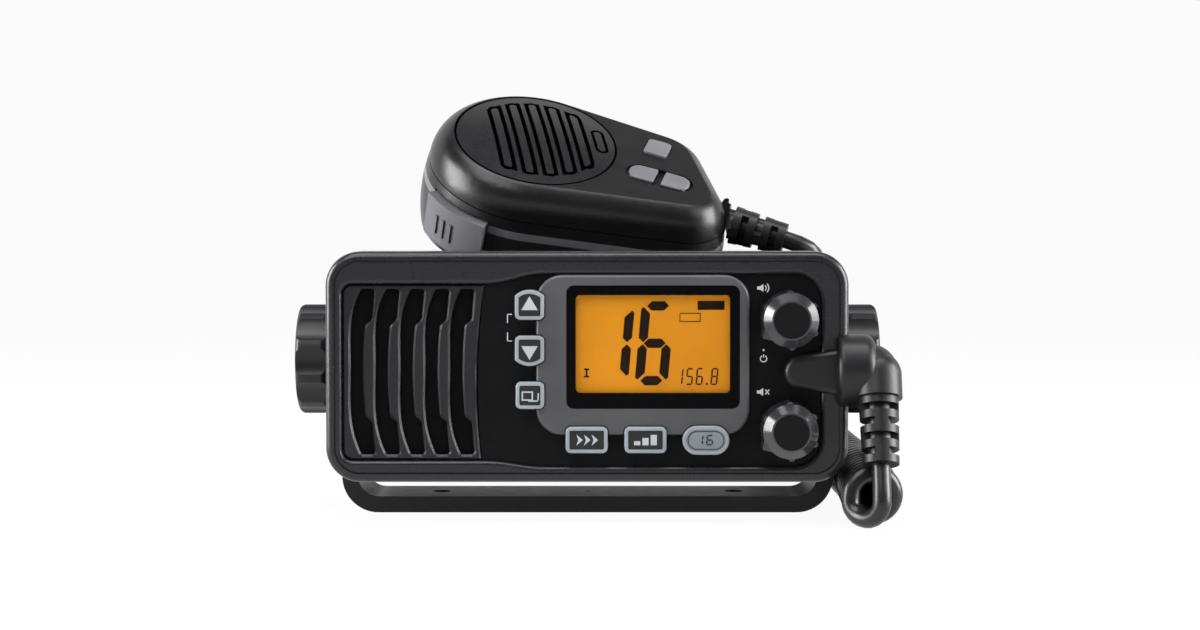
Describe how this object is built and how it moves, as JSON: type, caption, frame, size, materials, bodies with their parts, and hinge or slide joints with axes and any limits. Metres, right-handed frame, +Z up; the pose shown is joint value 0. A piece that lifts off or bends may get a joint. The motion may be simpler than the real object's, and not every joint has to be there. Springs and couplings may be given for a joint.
{
  "type": "vhf marine radio",
  "caption": "Fixed-mount VHF marine radio in a tilting U bracket, with amber display, keypad, two rotary controls, louvred speaker and a fist microphone on a coiled cord.",
  "frame": {"origin": "on the table, midway between the bracket's two mounting holes and straight below the tilt axis", "axes": "+X to the viewer's right along the tilt axis, +Y from the front to the rear, +Z up"},
  "size_m": [0.1813, 0.1687, 0.1283],
  "materials": {
    "bracket_paint": "satin",
    "case_paint": "black powder coat",
    "panel_plastic": "fine texture",
    "fascia_plastic": "fine texture",
    "island_plastic": "satin",
    "knob_plastic": "gloss",
    "cap_plastic": "matt",
    "side_knob_plastic": "matt",
    "key_plastic": "satin",
    "window_glass": "clear",
    "lcd_amber": "lit amber",
    "light_guide": "milky",
    "black_rubber": "matt",
    "grey_rubber": "matt",
    "steel": "brushed",
    "nickel": "plated",
    "board": "lacquered",
    "magnet": "dull",
    "cone": "paper felt",
    "mic_plastic": "fine texture",
    "mic_grille_plastic": "satin",
    "mic_key_plastic": "satin",
    "talk_plastic": "satin",
    "cord_jacket": "satin"
  },
  "bodies": {
    "bracket": {"mounting_bracket": "bracket_paint", "bracket_pads": "black_rubber", "knob_washers": "black_rubber"},
    "knob_left": {"bracket_knob_left": "side_knob_plastic", "knob_stud_left": "steel"},
    "knob_right": {"bracket_knob_right": "side_knob_plastic", "knob_stud_right": "steel"},
    "radio": {"rear_chassis": "case_paint", "case_screws": "steel", "front_gasket": "black_rubber", "front_panel": "panel_plastic", "fascia_plate": "fascia_plastic", "speaker_grille": "panel_plastic", "speaker_membrane": "cone", "speaker_frame": "magnet", "speaker_cone": "cone", "display_bezel": "island_plastic", "display_window": "window_glass", "lcd_panel": "lcd_amber", "lcd_backlight": "light_guide", "keypad_mat": "grey_rubber", "front_circuit_board": "board", "main_circuit_board": "board", "rf_shield": "steel", "volume_control": "steel", "squelch_control": "steel", "antenna_connector": "nickel", "power_gland": "black_rubber", "speaker_gland": "black_rubber", "cord_boot": "black_rubber", "cord_strain_relief": "black_rubber", "mic_cord_lead": "cord_jacket", "mic_cord_coil": "cord_jacket", "mic_cord_tail": "cord_jacket"},
    "up_key": {"key_up": "key_plastic"},
    "down_key": {"key_down": "key_plastic"},
    "watch_key": {"key_watch": "key_plastic"},
    "scan_key": {"key_scan": "key_plastic"},
    "channel_key": {"key_channel": "key_plastic"},
    "sixteen_key": {"key_sixteen": "key_plastic"},
    "volume": {"volume_knob": "knob_plastic", "volume_knob_cap": "cap_plastic", "volume_shaft": "steel"},
    "squelch": {"squelch_knob": "knob_plastic", "squelch_knob_cap": "cap_plastic", "squelch_shaft": "steel"},
    "microphone": {"mic_front_shell": "mic_plastic", "mic_back_shell": "mic_plastic", "mic_seam_gasket": "black_rubber", "mic_grille": "mic_grille_plastic", "mic_capsule": "steel", "mic_circuit_board": "board", "mic_hanger_stud": "steel", "mic_strain_relief": "black_rubber", "mic_screws": "steel", "mic_key_mat": "grey_rubber"},
    "talk_lever": {"ptt_lever": "talk_plastic"},
    "mic_single_key": {"mic_key_single": "mic_key_plastic"},
    "mic_left_key": {"mic_key_left": "mic_key_plastic"},
    "mic_right_key": {"mic_key_right": "mic_key_plastic"}
  },
  "joints": [
    {"name": "radio_tilt", "type": "hinge", "parent": "bracket", "child": "radio", "pos_m": [0, 0, 0.0458], "axis": [1, 0, 0], "range_deg": [-10, 15]},
    {"name": "knob_left_turn", "type": "hinge", "parent": "bracket", "child": "knob_left", "pos_m": [0, 0, 0.0458], "axis": [-1, 0, 0], "range_deg": [-180, 180]},
    {"name": "knob_right_turn", "type": "hinge", "parent": "bracket", "child": "knob_right", "pos_m": [0, 0, 0.0458], "axis": [1, 0, 0], "range_deg": [-180, 180]},
    {"name": "volume_turn", "type": "hinge", "parent": "radio", "child": "volume", "pos_m": [0.0584, -0.05, 0.0597], "axis": [0, 1, 0], "range_deg": [0, 290]},
    {"name": "squelch_turn", "type": "hinge", "parent": "radio", "child": "squelch", "pos_m": [0.0584, -0.05, 0.0278], "axis": [0, 1, 0], "range_deg": [0, 290]},
    {"name": "up_key_press", "type": "slide", "parent": "radio", "child": "up_key", "axis": [0, 1, 0], "range_m": [0, 0.0009], "stiffness_N_per_m": 900},
    {"name": "down_key_press", "type": "slide", "parent": "radio", "child": "down_key", "axis": [0, 1, 0], "range_m": [0, 0.0009], "stiffness_N_per_m": 900},
    {"name": "watch_key_press", "type": "slide", "parent": "radio", "child": "watch_key", "axis": [0, 1, 0], "range_m": [0, 0.0009], "stiffness_N_per_m": 900},
    {"name": "scan_key_press", "type": "slide", "parent": "radio", "child": "scan_key", "axis": [0, 1, 0], "range_m": [0, 0.0009], "stiffness_N_per_m": 900},
    {"name": "channel_key_press", "type": "slide", "parent": "radio", "child": "channel_key", "axis": [0, 1, 0], "range_m": [0, 0.0009], "stiffness_N_per_m": 900},
    {"name": "sixteen_key_press", "type": "slide", "parent": "radio", "child": "sixteen_key", "axis": [0, 1, 0], "range_m": [0, 0.0009], "stiffness_N_per_m": 900},
    {"name": "microphone_lift", "type": "slide", "parent": "radio", "child": "microphone", "axis": [0, 0, 1], "range_m": [0, 0.04]},
    {"name": "talk_lever_press", "type": "hinge", "parent": "microphone", "child": "talk_lever", "pos_m": [-0.03197, 0.00187, 0.08251], "axis": [-0.1564, 0.5394, -0.8274], "range_deg": [0, 3.5], "stiffness_Nm_per_rad": 1.5},
    {"name": "mic_single_key_press", "type": "slide", "parent": "microphone", "child": "mic_single_key", "axis": [-0.1564, 0.5394, -0.8274], "range_m": [0, 0.0007], "stiffness_N_per_m": 800},
    {"name": "mic_left_key_press", "type": "slide", "parent": "microphone", "child": "mic_left_key", "axis": [-0.1564, 0.5394, -0.8274], "range_m": [0, 0.0007], "stiffness_N_per_m": 800},
    {"name": "mic_right_key_press", "type": "slide", "parent": "microphone", "child": "mic_right_key", "axis": [-0.1564, 0.5394, -0.8274], "range_m": [0, 0.0007], "stiffness_N_per_m": 800}
  ]
}
